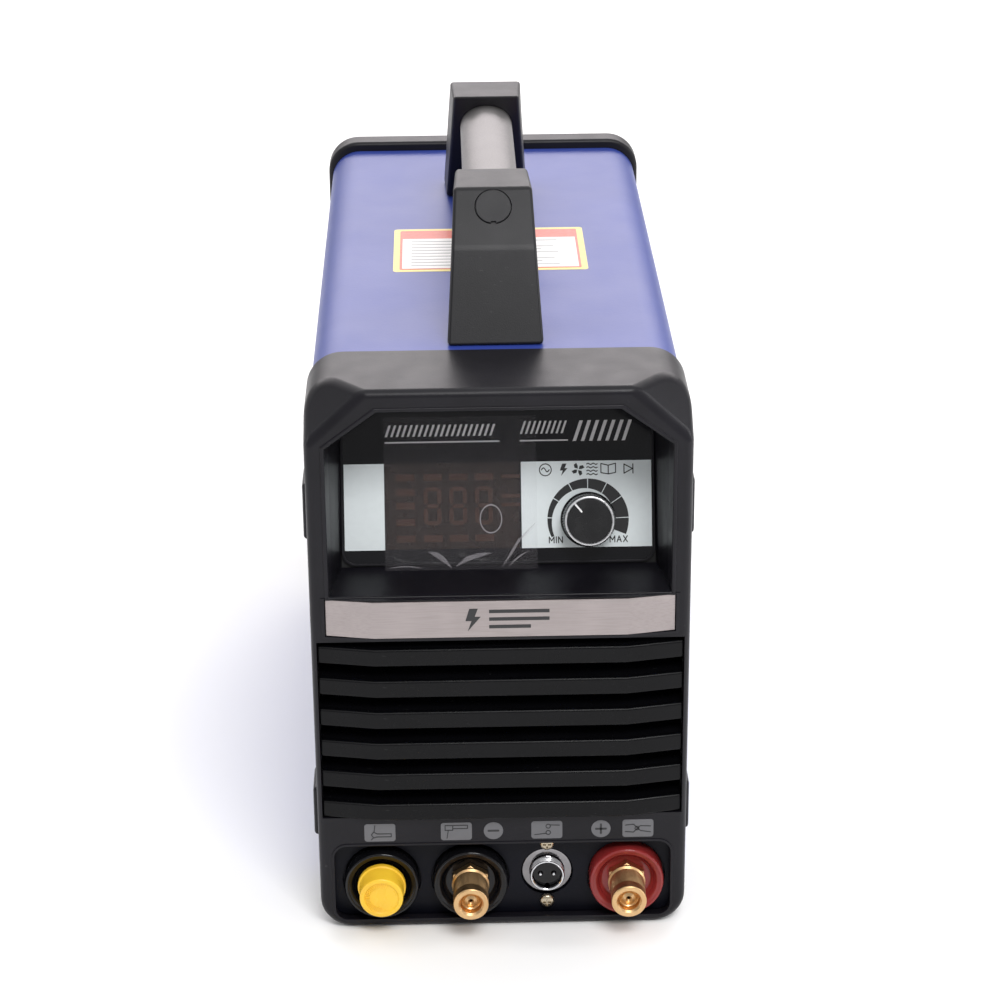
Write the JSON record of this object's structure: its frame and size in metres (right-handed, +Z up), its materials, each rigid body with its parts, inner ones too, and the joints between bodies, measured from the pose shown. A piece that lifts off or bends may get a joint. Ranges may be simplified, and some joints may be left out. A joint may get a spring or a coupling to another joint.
{
  "type": "tig welding machine",
  "caption": "Portable inverter TIG welder: blue sheet case with dark moulded bezels, carrying handle, tilted control panel, louvred front and weld sockets.",
  "frame": {"origin": "on the ground, under the middle of the whole machine's outer box", "axes": "+Z up; the machine's front, with its panel and sockets, faces -Y; +X is to the right of someone facing the front"},
  "size_m": [0.1686, 0.4176, 0.3188],
  "materials": {
    "charcoal_plastic": "fine moulded texture",
    "black_plastic": "satin moulding",
    "panel_plastic": "satin moulding",
    "gloss_black": "gloss overlay",
    "smoked_window": "smoked gloss",
    "blue_paint": "powder coat",
    "satin_trim": "satin",
    "aluminium": "drawn, satin",
    "zinc_steel": "zinc plated",
    "chrome": "polished",
    "brass": "machined",
    "copper": "copper",
    "yellow_plastic": "soft gloss",
    "red_plastic": "soft gloss",
    "circuit_board": "solder mask",
    "ferrite": "sintered core",
    "hose": "matt rubber"
  },
  "bodies": {
    "machine": {"front_bezel": "charcoal_plastic", "louvre_grille": "charcoal_plastic", "rear_bezel": "charcoal_plastic", "rear_panel": "charcoal_plastic", "handle_bracket_front": "charcoal_plastic", "handle_bracket_rear": "charcoal_plastic", "handle_cap_front": "charcoal_plastic", "handle_cap_rear": "charcoal_plastic", "led_display": "black_plastic", "torch_socket": "black_plastic", "negative_socket": "black_plastic", "control_socket_insert": "black_plastic", "fan_guard": "black_plastic", "fan_housing": "black_plastic", "power_switch_housing": "black_plastic", "cord_gland": "black_plastic", "cord_gland_nut": "black_plastic", "bus_capacitor_left": "black_plastic", "bus_capacitor_right": "black_plastic", "rectifier_bridge": "black_plastic", "connector_panel": "panel_plastic", "control_panel": "gloss_black", "display_window": "smoked_window", "case_cover": "blue_paint", "trim_plate": "satin_trim", "handle_tube": "aluminium", "heat_sink_left": "aluminium", "heat_sink_right": "aluminium", "potentiometer_body": "zinc_steel", "control_screw_upper": "zinc_steel", "control_screw_lower": "zinc_steel", "base_chassis": "zinc_steel", "earth_stud": "zinc_steel", "control_socket_shell": "chrome", "control_pin_left": "chrome", "control_pin_right": "chrome", "negative_fitting": "brass", "positive_fitting": "brass", "torch_gas_fitting": "brass", "gas_inlet": "brass", "gas_valve": "brass", "output_choke": "copper", "ignition_coil": "copper", "negative_busbar": "copper", "positive_busbar": "copper", "positive_socket": "red_plastic", "display_board": "circuit_board", "power_board": "circuit_board", "main_transformer": "ferrite", "gas_hose_inlet": "hose", "gas_hose_torch": "hose"},
    "knob": {"current_knob": "black_plastic", "knob_ring": "chrome", "potentiometer_shaft": "aluminium"},
    "gas_cap": {"torch_gas_cap": "yellow_plastic"},
    "fan": {"fan_rotor": "black_plastic"},
    "rocker": {"power_switch_rocker": "red_plastic"}
  },
  "joints": [
    {"name": "knob_turn", "type": "hinge", "parent": "machine", "child": "knob", "pos_m": [0.0393, -0.15833, 0.18484], "axis": [0, -0.9397, 0.342], "range_deg": [-175, 95]},
    {"name": "gas_cap_pull", "type": "slide", "parent": "machine", "child": "gas_cap", "axis": [0, -1, 0], "range_m": [0, 0.02]},
    {"name": "fan_spin", "type": "hinge", "parent": "machine", "child": "fan", "pos_m": [0, 0.1787, 0.105], "axis": [0, 1, 0], "continuous": true},
    {"name": "rocker_tip", "type": "hinge", "parent": "machine", "child": "rocker", "pos_m": [0.038, 0.1783, 0.205], "axis": [1, 0, 0], "range_deg": [0, 20]}
  ]
}
